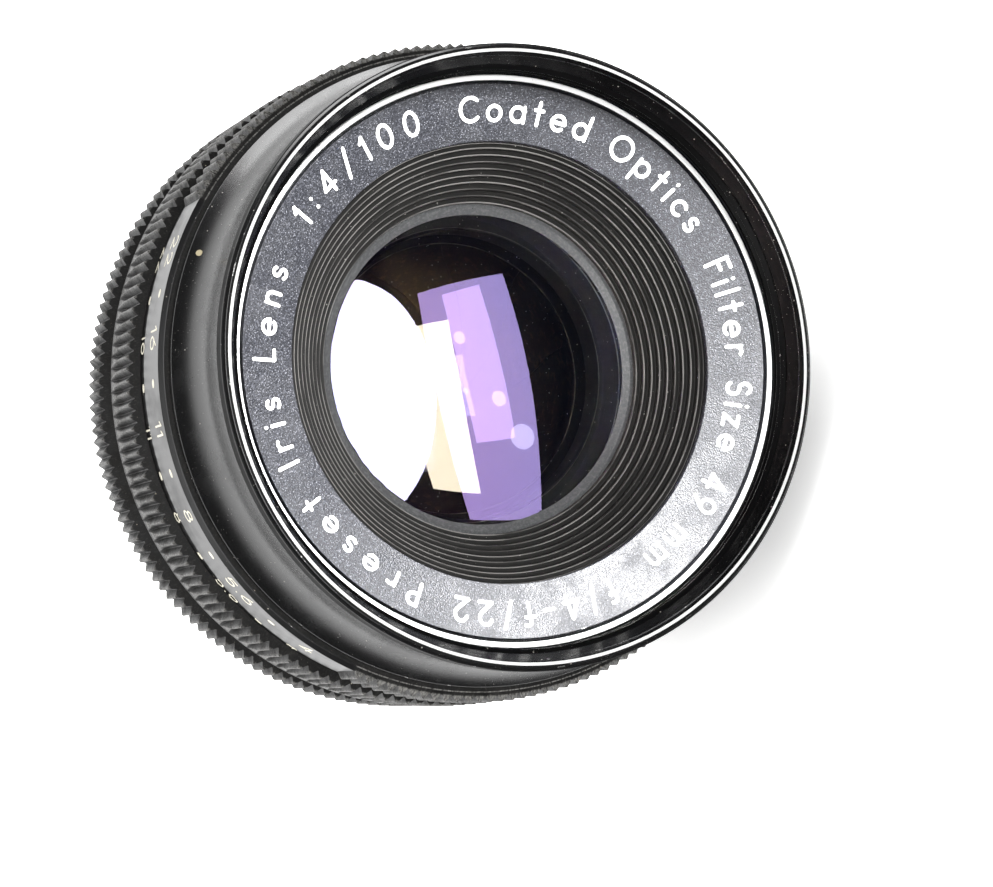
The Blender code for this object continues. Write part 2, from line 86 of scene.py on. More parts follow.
# Name ring: the foot of its dished face, and the rise of that face per unit of radius
CONE_FOOT_R = 18.65
CONE_FOOT_H = 31.75
CONE_RISE = 1.55 / 4.75

# How finely round pieces are divided
STEPS = 256
FILLET = 0.09
SUPPORT = 0.03
SHARP = 36.0

# How far paint stands out of the ring scales and the index mark
INLAY = 0.03

# Knurling
TEETH = 174
TOOTH_PITCH = 360.0 / TEETH
TOOTH_DEPTH = 0.52
TIP_SHARE = 0.07
ROOT_SHARE = 0.04

# Scales: eleven half stops from f/22 to f/4
HALF_STOP = 7.81
STOPS = ("22", "16", "11", "8", "5.6", "4")
SCALE_R = 28.0
APERTURE_SCALE_R = 27.7
SCALE_ARC = (-86.5, 9.5)
BAND_LIFT = 0.03

# Iris
BLADES = 10
PIVOT_R = 16.2
STOP_R = 12.3
BLADE_OUTER_R = 17.9
CLOSED_R = 2.2
BLADE_SPAN = 132.0
BLADE_END = 6.0
BLADE_FOOT_H = 11.15
BLADE_RISE = 0.0125
BLADE_THICKNESS = 0.06

# Small round lamps whose glints show in the glass: place and size as shares of their distance
LAMPS = ((0.791, 0.318, 0.048), (0.836, 0.268, 0.026), (0.902, 0.192, 0.022))

MOUNT_SCREW_RADIUS = 22.9
MOUNT_SCREW_ANGLES = (60.0, 180.0, 300.0)
GRIP_SCREW_ANGLES = (-88.0, 32.0, 152.0)
GRIP_SCREW_H = 8.5


# Places

def clock(radius, angle, height):
    """The point at a radius, clock angle and height, in metres."""
    turn = radians(angle)
    return Vector((radius * sin(turn), -height, radius * cos(turn))) * MM


def facing(direction):
    """Rotation that turns Z to a direction."""
    return direction.to_track_quat("Z", "Y").to_matrix()


# Node materials

class Nodes:
    """A node tree that is built up a step at a time."""

    def __init__(self, owner):
        owner.use_nodes = True
        self.tree = owner.node_tree

    def node(self, kind, **inputs):
        made = self.tree.nodes.new("ShaderNode" + kind)
        self.fill(made, inputs)
        return made

    def fill(self, node, inputs):
        for name, value in inputs.items():
            self.feed(node.inputs[name.replace("_", " ")], value)

    def feed(self, socket, value):
        if isinstance(value, bpy.types.NodeSocket):
            self.tree.links.new(value, socket)
        else:
            socket.default_value = value

    def math(self, operation, a, b=0.0):
        made = self.node("Math")
        made.operation = operation
        self.feed(made.inputs[0], a)
        self.feed(made.inputs[1], b)
        return made.outputs[0]

    def times(self, a, b):
        return self.math("MULTIPLY", a, b)

    def span(self, value, low, high, to_high=1.0, to_low=0.0):
        """Map a value from low..high to another range, smoothly and clamped."""
        made = self.node("MapRange")
        made.interpolation_type = "SMOOTHSTEP"
        for socket, number in zip(made.inputs, (value, low, high, to_low, to_high)):
            self.feed(socket, number)
        return made.outputs[0]

    def mix(self, share, below, value, kind="FLOAT"):
        """Go by a share from one number to another, or from one colour to another for the kind RGBA."""
        made = self.node("Mix")
        made.data_type = kind
        first, result = (6, 2) if kind == "RGBA" else (2, 0)
        for place, fed in ((0, share), (first, below), (first + 1, value)):
            self.feed(made.inputs[place], fed)
        return made.outputs[result]


class Look(Nodes):
    """A Principled material."""

    def __init__(self, name, colour, roughness, metallic=0.0, specular=0.5):
        self.material = bpy.data.materials.new(name)
        super().__init__(self.material)
        self.shader = self.tree.nodes["Principled BSDF"]
        self.set(Base_Color=(*colour, 1.0), Roughness=roughness, Metallic=metallic)
        self.set(Specular_IOR_Level=specular)
        self.height = None

    def set(self, **inputs):
        """Set or link the shader's own inputs."""
        self.fill(self.shader, inputs)

    def place(self):
        """Object coordinates in millimetres."""
        scaled = self.node("VectorMath")
        scaled.operation = "SCALE"
        self.feed(scaled.inputs[0], self.node("TexCoord").outputs["Object"])
        scaled.inputs["Scale"].default_value = 1.0 / MM
        return scaled.outputs[0]

    def turned(self, around, across):
        """Coordinates that run round the axis, for marks left by a lathe."""
        x, y, z = self.node("SeparateXYZ", Vector=self.place()).outputs
        radius = self.math("SQRT", self.math("ADD", self.times(x, x), self.times(z, z)))
        arc_length = self.times(self.math("ARCTAN2", x, z), around * GRIP_R)
        joined = self.node("CombineXYZ", X=self.times(radius, across), Y=self.times(y, across), Z=arc_length)
        return joined.outputs[0]

    def noise(self, scale, detail=4.0, rough=0.6, where=None):
        where = where or self.place()
        made = self.node("TexNoise", Vector=where, Scale=scale, Detail=detail, Roughness=rough)
        return made.outputs["Fac"]

    def streaks(self, around, scale, detail=4.0, rough=0.6, across=1.0):
        """Noise that is drawn out round the axis where around is small."""
        return self.noise(scale, detail, rough, self.turned(around, across))

    def cells(self, scale):
        return self.node("TexVoronoi", Vector=self.place(), Scale=scale).outputs["Distance"]

    # Convex edge mark: scuffed bare edges on most finishes, painted highlights along each ridge lip of the
    # matt finish.
    def wear_and_highlight(self):
        made = self.node("Attribute")
        made.attribute_name = "wear_and_highlight"
        return made.outputs["Fac"]

    def now(self, name):
        """What feeds an input of the shader now: a link's source, or the plain value."""
        socket = self.shader.inputs[name]
        return socket.links[0].from_socket if socket.is_linked else socket.default_value

    def tint(self, share, colour):
        """Lay a colour over the base by a share."""
        self.set(Base_Color=self.mix(share, self.now("Base Color"), (*colour, 1.0), "RGBA"))

    def vary(self, name, share, value):
        """Move a number of the shader towards a value by a share."""
        self.feed(self.shader.inputs[name], self.mix(share, self.now(name), value))

    def bump(self, height, distance_mm):
        """Add relief whose full height is given in millimetres."""
        made = self.node("Bump", Height=height, Strength=1.0, Distance=distance_mm * MM)
        if self.height:
            self.feed(made.inputs["Normal"], self.height)
        self.height = made.outputs["Normal"]
        self.set(Normal=self.height)

    def dust(self, amount=1.0, colour=(0.32, 0.3, 0.27)):
        """Specks of pale dust, finer and coarser."""
        fine = self.span(self.cells(3.1), 0.1 * amount, 0.03 * amount)
        patches = self.span(self.noise(0.35, 3.0), 0.42, 0.62)
        coarse = self.span(self.cells(0.9), 0.065 * amount, 0.03 * amount)
        share = self.math("MAXIMUM", self.times(fine, patches), coarse)
        self.tint(share, colour)
        self.vary("Roughness", share, 0.9)

    def worn_edges(self, density):
        """Bare aluminium where the edges have scuffed through; a higher density leaves more of the black."""
        breaks = self.streaks(0.3, 2.2, 5.0, 0.7)
        scraped = self.times(self.wear_and_highlight(), self.span(breaks, density - 0.06, density + 0.08))
        share = self.span(scraped, 0.5, 0.8)
        self.tint(share, (0.62, 0.61, 0.6))
        self.vary("Metallic", share, 1.0)
        self.vary("Roughness", share, 0.35)


def anodised(name, roughness=0.22, base=0.004, lines=0.004, density=0.62, specular=0.75):
    """Black anodised aluminium: fine turning lines, a few smears, specks and rubbed edges."""
    look = Look(name, (base, base, base * 1.05), roughness, 0.0, specular)
    look.bump(look.streaks(0.01, 22.0, 3.0), lines)
    smears = look.span(look.noise(0.22), 0.45, 0.7)
    look.vary("Roughness", smears, roughness + 0.1)
    look.bump(look.noise(60.0, 2.0), lines * 0.5)
    look.dust()
    look.worn_edges(density)
    return look.material


def knurl_finish(name):
    """Anodised knurling: dusty brown in the grooves, paler along the tooth edges."""
    look = Look(name, (0.005, 0.0048, 0.0046), 0.46, 0.0, 0.25)
    grime = look.span(look.noise(0.7, 5.0, 0.65), 0.42, 0.74)
    look.tint(look.times(grime, 0.75), (0.015, 0.0138, 0.0125))
    scratch = look.streaks(0.9, 9.0, 4.0, 0.7, across=0.35)
    look.tint(look.times(look.span(scratch, 0.5, 0.75), 0.25), (0.09, 0.086, 0.08))
    look.bump(look.noise(14.0), 0.02)
    look.bump(scratch, 0.012)
    edge = look.times(look.span(look.wear_and_highlight(), 0.55, 1.0), look.span(scratch, 0.3, 0.7))
    look.tint(look.times(edge, 0.8), (0.2, 0.195, 0.185))
    look.vary("Roughness", grime, 0.75)
    look.dust(0.9, (0.3, 0.27, 0.22))
    return look.material


def crinkle_paint():
    """Fine blue-black crinkle paint with tiny painted glints: pale specks laid into its colour."""
    look = Look("crinkle_paint", (0.009, 0.0095, 0.0125), 0.38, 0.0, 0.5)
    grain = look.noise(6.5, 3.0, 0.75)
    look.bump(grain, 0.035)
    look.bump(look.cells(7.5), 0.02)
    look.tint(look.span(grain, 0.47, 0.66, 0.65), (0.06, 0.062, 0.075))
    # Painted glints: pale cell specks in the base colour stand in for light caught by the crinkles.
    look.tint(look.span(look.cells(5.0), 0.26, 0.12, 0.6), (0.22, 0.225, 0.25))
    look.vary("Roughness", look.span(look.noise(0.4), 0.4, 0.7), 0.55)
    look.worn_edges(0.62)
    return look.material


def matt_black(name, base=(0.0135, 0.013, 0.0122), ridge=(0.04, 0.037, 0.034)):
    """Matt brownish black on turned ridges, with dust and thin pale painted highlights along each ridge lip.
    """
    look = Look(name, base, 0.5, 0.0, 0.28)
    lines = look.streaks(0.02, 6.0)
    look.bump(lines, 0.008)
    look.tint(look.span(lines, 0.5, 0.8, 0.5), ridge)
    look.bump(look.noise(18.0, 3.0), 0.01)
    # Painted highlight: a thin pale line along each ridge lip, broken up along its length.
    highlight_breaks = look.span(look.streaks(0.1, 0.7, 3.0), 0.3, 0.7, to_low=0.35)
    lip_highlight = look.span(look.times(look.wear_and_highlight(), highlight_breaks), 0.2, 0.9)
    look.tint(look.times(lip_highlight, 0.95), (0.22, 0.213, 0.205))
    look.vary("Roughness", lip_highlight, 0.24)
    look.dust(1.0, (0.3, 0.29, 0.27))
    return look.material


def grey_rim():
    """Narrow ring round the glass, abraded to a flat grey."""
    look = Look("grey_rim", (0.07, 0.072, 0.075), 0.42, 0.2, 0.45)
    patches = look.streaks(0.35, 5.0, 4.0, 0.7)
    look.tint(look.span(patches, 0.42, 0.7, 0.7), (0.15, 0.152, 0.155))
    look.bump(look.streaks(0.02, 30.0, 3.0), 0.004)
    look.dust(0.8, (0.02, 0.02, 0.02))
    return look.material


def bare_aluminium(name, roughness=0.4, shade=0.93):
    """Bright turned edge with nicks and dark flecks."""
    look = Look(name, (shade, shade, shade * 0.99), roughness, 0.55)
    look.bump(look.streaks(0.01, 40.0, 3.0), 0.004)
    nicks = look.span(look.streaks(1.2, 1.7, 5.0, 0.75), 0.69, 0.73)
    look.tint(nicks, (0.03, 0.03, 0.03))
    look.vary("Roughness", nicks, 0.6)
    return look.material


def engraving_paint(name, colour, flake):
    """Hard paint filling an engraved mark, slightly uneven and chipped."""
    look = Look(name, colour, 0.5, 0.0, 0.4)
    look.bump(look.noise(9.0), 0.02)
    chips = look.span(look.noise(3.2, 4.0, 0.7), 0.66, 0.72)
    look.tint(chips, flake)
    return look.material


def satin_chrome():
    look = Look("satin_chrome", (0.4, 0.395, 0.385), 0.26, 1.0)
    look.bump(look.streaks(0.008, 28.0), 0.005)
    look.vary("Roughness", look.span(look.noise(0.3, 5.0), 0.4, 0.7), 0.38)
    scuffs = look.span(look.streaks(0.25, 1.3, 6.0, 0.8), 0.64, 0.74)
    look.tint(scuffs, (0.3, 0.29, 0.275))
    return look.material


def steel(name, shade=0.45, roughness=0.32):
    look = Look(name, (shade, shade * 0.98, shade * 0.96), roughness, 1.0)
    look.bump(look.noise(6.0), 0.01)
    look.tint(look.span(look.noise(1.4, 5.0, 0.7), 0.55, 0.75), (shade * 0.45,) * 3)
    return look.material


def blade_steel():
    """Blued iris leaves with fine rub marks along their path."""
    look = Look("blade_steel", (0.05, 0.044, 0.04), 0.38, 0.85)
    rubs = look.streaks(0.15, 2.6, 5.0, 0.7)
    look.tint(look.span(rubs, 0.5, 0.72, 0.7), (0.13, 0.085, 0.065))
    look.bump(rubs, 0.004)
    return look.material


def edge_black():
    look = Look("lens_edge_black", (0.006, 0.006, 0.006), 0.7)
    look.bump(look.noise(5.0), 0.02)
    look.tint(look.span(look.noise(2.0), 0.6, 0.75), (0.03, 0.03, 0.032))
    return look.material


def coated_glass(name, film_nm, film_ior, ior=1.55):
    """Clear glass whose reflection takes the colour of a thin film, with a few specks and a faint bloom."""
    look = Look(name, (0.97, 0.98, 0.975), 0.0)
    look.set(Transmission_Weight=1.0, IOR=ior, Thin_Film_Thickness=film_nm, Thin_Film_IOR=film_ior)
    specks = look.span(look.cells(1.3), 0.045, 0.03)
    bloom = look.span(look.noise(0.25), 0.6, 0.8, 0.012)
    look.vary("Roughness", look.math("MAXIMUM", specks, bloom), 0.5)
    return look.material


def floor_finish():
    look = Look("pale_floor", (0.88, 0.88, 0.87), 0.7)
    grain = look.noise(0.02, 5.0)
    look.tint(look.span(grain, 0.4, 0.7, 0.5), (0.92, 0.92, 0.92))
    look.bump(look.noise(0.5, 3.0), 0.02)
    look.set(Emission_Color=(1.0, 1.0, 1.0, 1.0), Emission_Strength=0.5)
    return look.material


# Meshes

def add_object(name, data):
    item = bpy.data.objects.new(name, data)
    bpy.context.scene.collection.objects.link(item)
    return item


def finish_mesh(name, verts, faces, materials, wear_and_highlight=None, smooth=True):
    mesh = bpy.data.meshes.new(name)
    mesh.from_pydata(verts, [], faces)
    for material in materials:
        mesh.materials.append(material)
    if wear_and_highlight is not None:
        attribute = mesh.attributes.new("wear_and_highlight", "FLOAT", "POINT")
        attribute.data.foreach_set("value", wear_and_highlight)
    if smooth:
        mesh.shade_smooth()
        mesh.set_sharp_from_angle(angle=radians(SHARP))
    return add_object(name, mesh)


def place_piece(piece, body, replaced=()):
    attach(piece, body)
    if replaced:
        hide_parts(*replaced)
    return piece


def fillet(loop, size=FILLET):
    """Round the corners of a closed section that runs clockwise; gives (radius, height, wear) points."""
    points = []
    for i, here in enumerate(loop):
        here = Vector(here[:2])
        back = Vector(loop[i - 1][:2]) - here
        ahead = Vector(loop[(i + 1) % len(loop)][:2]) - here
        turn = 180.0 - degrees(back.angle(ahead))
        if turn < 20.0:
            points.append((here.x, here.y, 0.0))
            continue
        cut = min(size, 0.4 * back.length, 0.4 * ahead.length)
        ease = min(SUPPORT, 0.05 * back.length, 0.05 * ahead.length)
        back.normalize()
        ahead.normalize()
        # Convex corners get the edge mark, which gives scuffed bare edges on most finishes and painted
        # highlights on each matt ridge lip.
        worn_and_lit = 1.0 if (-back).cross(ahead) < 0 else 0.0
        points.append((*(here + back * (cut + ease)), 0.0))
        for t in (0.0, 0.3, 0.7, 1.0):
            spot = here + back * cut * (1 - t) ** 2 + ahead * cut * t ** 2
            points.append((*spot, worn_and_lit))
        points.append((*(here + ahead * (cut + ease)), 0.0))
    return points


def loop_faces(columns, count, rows=None):
    """Faces between the columns of a section with count points that is swept right round."""
    return strip_faces([(s * count, (s + 1) % columns * count) for s in range(columns)], count, rows or count)


def bar_faces(columns, count):
    """Faces of a closed section that is swept along a bar, with the bar's two ends."""
    end = (columns - 1) * count
    faces = strip_faces([(s * count, (s + 1) * count) for s in range(columns - 1)], count, count)
    return faces + [tuple(range(count)), tuple(range(end, end + count))[::-1]]


def strip_faces(pairs, count, rows):
    """Faces between pairs of columns, which are given by their first points."""
    return [(here + i, there + i, there + (i + 1) % count, here + (i + 1) % count)
            for here, there in pairs for i in range(rows)]


def lathe(name, section, material):
    """Turn a closed section of (radius, height, wear) points round the axis."""
    verts = [clock(r, 360.0 * s / STEPS, h) for s in range(STEPS) for r, h, _ in section]
    wear_and_highlight = [worn_and_lit for _, _, worn_and_lit in section] * STEPS
    return finish_mesh(name, verts, loop_faces(STEPS, len(section)), [material], wear_and_highlight)


def ring(name, loop, material, replaced=(), size=FILLET, body="barrel"):
    return place_piece(lathe(name, fillet(loop, size), material), body, replaced)


def thread_rows(start_h, end_h, pitch, crest_r, root_r):
    """Section points of a row of thread ridges, between two heights."""
    turns = max(1, round(abs(end_h - start_h) / pitch))
    step = (end_h - start_h) / turns
    rows = []
    for i in range(turns):
        low = start_h + step * i
        rows += [(root_r, low + 0.08 * step), (crest_r, low + 0.45 * step), (crest_r, low + 0.55 * step),
                 (root_r, low + 0.92 * step)]
    return rows


class Knurl:
    """Teeth cut along the axis into a turned blank, all round or over an arc."""

    def __init__(self, tip_r, start=0.0, end=360.0, flat_r=None):
        self.tip_r = tip_r
        self.root_r = tip_r - TOOTH_DEPTH
        self.flat_r = flat_r
        count = round((end - start) / TOOTH_PITCH)
        self.pitch = (end - start) / count
        self.columns = []
        for k in range(count):
            middle = start + self.pitch * (k + 0.5)
            self.columns += [("root", middle - self.pitch / 2, 1), ("tip", middle, -1), ("tip", middle, 1),
                             ("root", middle + self.pitch / 2, -1)]
        if flat_r:
            gap = 360.0 - (end - start)
            plain = max(2, round(gap))
            self.columns += [("flat", end + gap * i / plain, 0) for i in range(plain + 1)]

    def point(self, column, level):
        """Clock angle, radius and wear of a column where the blank has a level of (r, h, wear, root)."""
        kind, middle, side = column
        blank, _, worn_and_lit, root = level
        if kind == "flat":
            return middle, min(blank, self.flat_r), worn_and_lit if blank <= self.flat_r + 0.01 else 0.0
        root = min(blank, root)
        depth = (min(blank, self.tip_r) - root) / TOOTH_DEPTH
        if kind == "root":
            return middle + side * ROOT_SHARE * self.pitch, root, 0.0
        wide = 0.5 - ROOT_SHARE
        share = max(TIP_SHARE, (wide - (wide - TIP_SHARE) * depth) * 0.98)
        return middle + side * share * self.pitch, min(blank, self.tip_r), 1.0 if depth > 0.05 else worn_and_lit


def knurled_ring(name, levels, knurl, body, node):
    """A knurled ring whose section levels are (radius, height, wear, groove root radius)."""
    verts, wear_and_highlight = [], []
    for column in knurl.columns:
        for level in levels:
            angle, radius, worn_and_lit = knurl.point(column, level)
            verts.append(clock(radius, angle, level[1]))
            wear_and_highlight.append(worn_and_lit)
    piece = finish_mesh(name, verts, loop_faces(len(knurl.columns), len(levels)), [KNURL], wear_and_highlight)
    place_piece(piece, body, [node])


def with_root(section, root_r):
    """Give every level of a section a groove root; root_r is a number or a function of the height."""
    return [(r, h, worn_and_lit, root_r(h) if callable(root_r) else root_r) for r, h, worn_and_lit in section]


# Lettering drawn with a round engraving cutter, in units of the capital height

def arc(cx, cy, rx, ry, start, end):
    count = max(4, round(abs(end - start) / 18.0))
    angles = [radians(start + (end - start) * i / count) for i in range(count + 1)]
    return [(cx + rx * cos(a), cy + ry * sin(a)) for a in angles]


def chain(*points):
    """Straight strokes from each point to the next."""
    return [[start, end] for start, end in zip(points, points[1:])]


def point(x, y):
    return chain((x, y), (x, y + 0.001))


def circle(cx, cy, rx, ry, start=90):
    return arc(cx, cy, rx, ry, start, start + 360)


BOWL = circle(0.31, 0.31, 0.31, 0.31, 0)
GLYPHS = {
    " ": [],
    "0": [circle(0.31, 0.5, 0.31, 0.5)],
    "1": chain((0, 0.8), (0.17, 1), (0.17, 0)),
    "2": [arc(0.3, 0.7, 0.28, 0.3, 165, -38) + [(0.02, 0)]] + chain((0.02, 0), (0.6, 0)),
    "4": chain((0.46, 0), (0.46, 1), (0, 0.27), (0.64, 0.27)),
    "5": chain((0.54, 1), (0.14, 1), (0.06, 0.56)) + [arc(0.27, 0.33, 0.29, 0.33, 132, -140)],
    "6": [[(0.46, 1)] + circle(0.3, 0.31, 0.3, 0.31, 150)],
    "8": [circle(0.3, 0.27, 0.29, 0.27), circle(0.3, 0.77, 0.22, 0.23, -90)],
    "9": [[(0.14, 0)] + circle(0.3, 0.69, 0.3, 0.31, -30)],
    ":": point(0.05, 0.12) + point(0.05, 0.6),
    ".": point(0.05, 0.02),
    "/": chain((0, -0.1), (0.4, 1.1)),
    "-": chain((0, 0.4), (0.42, 0.4)),
    "C": [arc(0.48, 0.5, 0.48, 0.5, 48, 312)],
    "F": chain((0, 0), (0, 1), (0.46, 1)) + chain((0, 0.55), (0.4, 0.55)),
    "I": chain((0, 0), (0, 1)),
    "L": chain((0, 1), (0, 0), (0.42, 0)),
    "O": [circle(0.5, 0.5, 0.5, 0.5)],
    "P": chain((0, 0), (0, 1)) + [[(0, 1)] + arc(0.22, 0.74, 0.26, 0.26, 90, -90) + [(0, 0.48)]],
    "S": [arc(0.27, 0.76, 0.24, 0.24, 35, 270) + arc(0.27, 0.26, 0.27, 0.26, 90, -145)],
    "a": [BOWL] + chain((0.62, 0.62), (0.62, 0)),
    "c": [arc(0.31, 0.31, 0.31, 0.31, 45, 315)],
    "d": [BOWL] + chain((0.62, 1), (0.62, 0)),
    "e": chain((0, 0.31), (0.62, 0.31)) + [arc(0.31, 0.31, 0.31, 0.31, 0, 312)],
    "f": [arc(0.38, 0.82, 0.18, 0.18, 60, 180) + [(0.2, 0)]] + chain((0, 0.62), (0.4, 0.62)),
    "i": chain((0, 0.62), (0, 0)) + point(0, 0.92),
    "l": chain((0, 1), (0, 0)),
    "m": chain((0, 0.62), (0, 0)) + [arc(x, 0.42, 0.2, 0.2, 180, 0) + [(x + 0.2, 0)] for x in (0.2, 0.6)],
    "n": chain((0, 0.62), (0, 0)) + [arc(0.24, 0.38, 0.24, 0.24, 180, 0) + [(0.48, 0)]],
    "o": [BOWL],
    "p": [BOWL] + chain((0, 0.62), (0, -0.35)),
    "r": chain((0, 0.62), (0, 0)) + [arc(0.24, 0.36, 0.24, 0.26, 180, 60)],
    "s": [arc(0.2, 0.465, 0.17, 0.155, 35, 270) + arc(0.2, 0.155, 0.2, 0.155, 90, -145)],
    "t": chain((0.17, 0.95), (0.17, 0)) + chain((0, 0.62), (0.36, 0.62)),
    "z": chain((0, 0.62), (0.44, 0.62), (0, 0), (0.48, 0)),
}
ROUND_END = [0.6, 1.05, 1.45]
CUTTER_SHAPE = ((-1.0, -1.0), (-0.86, 0.45), (-0.45, 0.9), (0.0, 1.0), (0.45, 0.9), (0.86, 0.45), (1.0, -1.0))


class Engraving:
    """Paint-filled strokes on a surface, gathered into one piece."""

    def __init__(self, half_width, relief):
        self.half_width = half_width
        self.relief = relief
        self.verts = []
        self.faces = []

    def stroke(self, points, on_surface):
        """A round-ended stroke through flat points; on_surface turns (x, y, lift) into a place."""
        points = [Vector(p) for p in points]
        sections = []
        last = len(points) - 1
        for i, here in enumerate(points):
            along = points[min(i + 1, last)] - points[max(i - 1, 0)]
            along.normalize()
            turns = [0.0]
            if i == 0:
                turns = [-turn for turn in ROUND_END[::-1]] + turns
            if i == last:
                turns += ROUND_END
            sections += [(here + along * self.half_width * sin(turn), along, cos(turn)) for turn in turns]
        first = len(self.verts)
        for spot, along, share in sections:
            side = Vector((along.y, -along.x)) * self.half_width * share
            for across, lift in CUTTER_SHAPE:
                flat = spot + side * across
                self.verts.append(on_surface(flat.x, flat.y, lift * self.relief))
        bar = bar_faces(len(sections), len(CUTTER_SHAPE))
        self.faces += [tuple(first + corner for corner in face) for face in bar]

    def glyph(self, letter, height, on_surface):
        for points in GLYPHS[letter]:
            self.stroke([(x * height, y * height) for x, y in points], on_surface)

    def build(self, name, material, body):
        place_piece(finish_mesh(name, self.verts, self.faces, [material]), body)


def glyph_width(letter):
    space = 0.3
    return max((x for points in GLYPHS[letter] for x, _ in points), default=space)


def text_width(text, height, gap=0.0):
    return sum(map(glyph_width, text)) * height + gap * (len(text) - 1)


def letter_places(text, height, gap, start=0.0):
    """Each letter of a text with its width and the place where it starts."""
    for letter in text:
        width = glyph_width(letter) * height
        yield letter, width, start
        start += width + gap


# Materials in use

ANODISED = anodised("anodised_satin")
ANODISED_INNER = anodised("anodised_inner", 0.4, base=0.012, lines=0.01)
ANODISED_MOUTH = anodised("anodised_mouth", 0.2, base=0.003, lines=0.005, density=0.66, specular=0.07)
ANODISED_WALL = anodised("anodised_wall", 0.45, base=0.003, density=0.66, specular=0.03)
ANODISED_RIM = anodised("anodised_rim", 0.5, base=0.006, lines=0.006, density=0.66, specular=0.2)
ANODISED_DARK = anodised("anodised_dark", 0.32, base=0.003, density=0.66, specular=0.16)
ANODISED_GLOSS = anodised("anodised_scale", 0.3, base=0.006, lines=0.0015, density=0.64, specular=0.4)
KNURL = knurl_finish("knurl_dusty")
CRINKLE = crinkle_paint()
BAFFLE = matt_black("matt_ridges")
INTERIOR = matt_black("matt_interior", (0.004, 0.0039, 0.0038), (0.014, 0.0135, 0.013))
GREY_RIM = grey_rim()
BRIGHT = bare_aluminium("bare_aluminium")
WHITE_FILL = engraving_paint("white_fill", (0.84, 0.84, 0.82), (0.4, 0.4, 0.4))
CREAM_FILL = engraving_paint("cream_fill", (0.8, 0.76, 0.62), (0.3, 0.28, 0.22))
INDEX_FILL = engraving_paint("index_fill", (0.5, 0.43, 0.27), (0.3, 0.25, 0.16))
CHROME = satin_chrome()
STEEL = steel("turned_steel")
SCREW_STEEL = steel("screw_steel", 0.32, 0.38)
BLADE = blade_steel()
EDGE_BLACK = edge_black()
FRONT_COAT = coated_glass("glass_front_coat", 104.0, 1.38)
VIOLET_COAT = coated_glass("glass_violet_coat", 445.0, 2.0)
LILAC_COAT = coated_glass("glass_lilac_coat", 290.0, 2.0)
AMBER_COAT = coated_glass("glass_amber_coat", 232.0, 2.0)
WEAK_COAT = coated_glass("glass_weak_coat", 108.0, 1.27)


# Pieces

def on_flare_arc(turn, lift=0.0):
    """Radius and height on the flare's hollow arc, where turn runs from the waist towards the foot."""
    reach = FLARE_CURVE_R - lift
    return WAIST_R + FLARE_CURVE_R - reach * cos(turn), WAIST_FOOT_H - reach * sin(turn)


def front_barrel():
    """Front shell with its waist and concave flare, the threaded mouth, and the black rim's bright line."""
    flare_r, arc_angle, parts = 27.2, 43.2, 16
    flare = [on_flare_arc(radians(arc_angle * i / parts)) for i in range(1, parts + 1)]
    loop = [(25.0, 36.6), (25.7, 36.95), (RIM_R - 0.02, 36.7), (RIM_R - 0.02, 35.32), (WAIST_R, 35.1),
            (WAIST_R, WAIST_FOOT_H)] + flare
    loop += [(flare_r, 25.25), (flare_r - 0.1, 25.15), (24.1, 25.15), (24.1, 33.4), (24.6, 33.5)]
    ring("front_barrel_shell", loop, ANODISED, ["front_barrel"], 0.07)
    mouth = [(24.1, 33.3), (24.1, 33.5), (24.45, 33.56)] + thread_rows(33.6, 35.1, 0.75, 24.12, 24.5)
    mouth += [(24.5, 35.25), (25.18, FRONT_H - 0.03), (25.24, FRONT_H), (25.4, FRONT_H), (25.2, 36.4),
              (24.9, 33.3)]
    ring("front_mouth", mouth, ANODISED_MOUTH, size=0.05)
    band = [(25.45, 36.8), (25.46, FRONT_H), (25.56, FRONT_H), (RIM_R, FRONT_H - 0.3), (RIM_R, 36.4),
            (25.6, 36.35)]
    ring("front_rim_band", band, ANODISED_RIM, size=0.04)
    wall = [(25.6, 36.45), (RIM_R - 0.005, 36.45), (RIM_R - 0.005, 35.3), (RIM_R - 0.3, 35.25), (25.6, 35.3)]
    ring("front_rim_wall", wall, ANODISED_WALL, size=0.04)
    line_h = FRONT_H + 0.012
    line = [(25.24, 36.9), (25.24, line_h), (25.5, line_h), (25.5, 36.9)]
    ring("front_rim_line", line, BRIGHT, size=0.02)


def name_cone_h(radius):
    """Height of the name ring's dished face, which rises towards its lip."""
    return CONE_FOOT_H + (radius - CONE_FOOT_R) * CONE_RISE


def name_ring():
    groove_r, groove_h, back_h = 23.24, 32.4, 31.2
    plate = [(groove_r, name_cone_h(groove_r)), (groove_r + 0.04, groove_h), (23.52, groove_h), (23.54, 33.3),
             (23.62, 33.4), (23.88, 33.4), (24.0, 33.2), (24.0, back_h), (CONE_FOOT_R, back_h),
             (CONE_FOOT_R, CONE_FOOT_H)]
    ring("name_ring_plate", plate, CRINKLE, ["name_ring"], 0.05)
    lip = [(23.53, 33.33), (23.6, 33.43), (23.92, 33.43), (24.01, 33.34), (24.01, 33.0), (23.7, 33.0)]
    ring("name_ring_lip", lip, BRIGHT, size=0.03)


def name_lettering():
    """Generic engraving round the name ring, each text spread over its own arc."""
    height, base_r = 1.9, 20.3
    texts = (("Preset Iris Lens", -87.3, -0.5), ("1:4/100", 11.7, 48.2), ("Coated Optics", 59.0, 125.3),
             ("Filter Size 49 mm", 134.8, 212.9), ("f/4-f/22", 223.6, 263.7))
    fill = Engraving(0.165, 0.035)
    middle_r = base_r + height / 2
    for text, start, end in texts:
        room = radians(end - start) * middle_r
        gap = (room - text_width(text, height)) / (len(text) - 1)
        for letter, width, place in letter_places(text, height, gap):

            def on_ring(x, y, lift, angle=start + degrees((place + width / 2) / middle_r), width=width):
                out = base_r + y
                along = x - width / 2
                radius = hypot(out, along)
                turn = angle + degrees(atan2(along, out))
                return clock(radius, turn, name_cone_h(radius) + lift)

            fill.glyph(letter, height, on_ring)
    fill.build("name_ring_lettering", WHITE_FILL, "barrel")


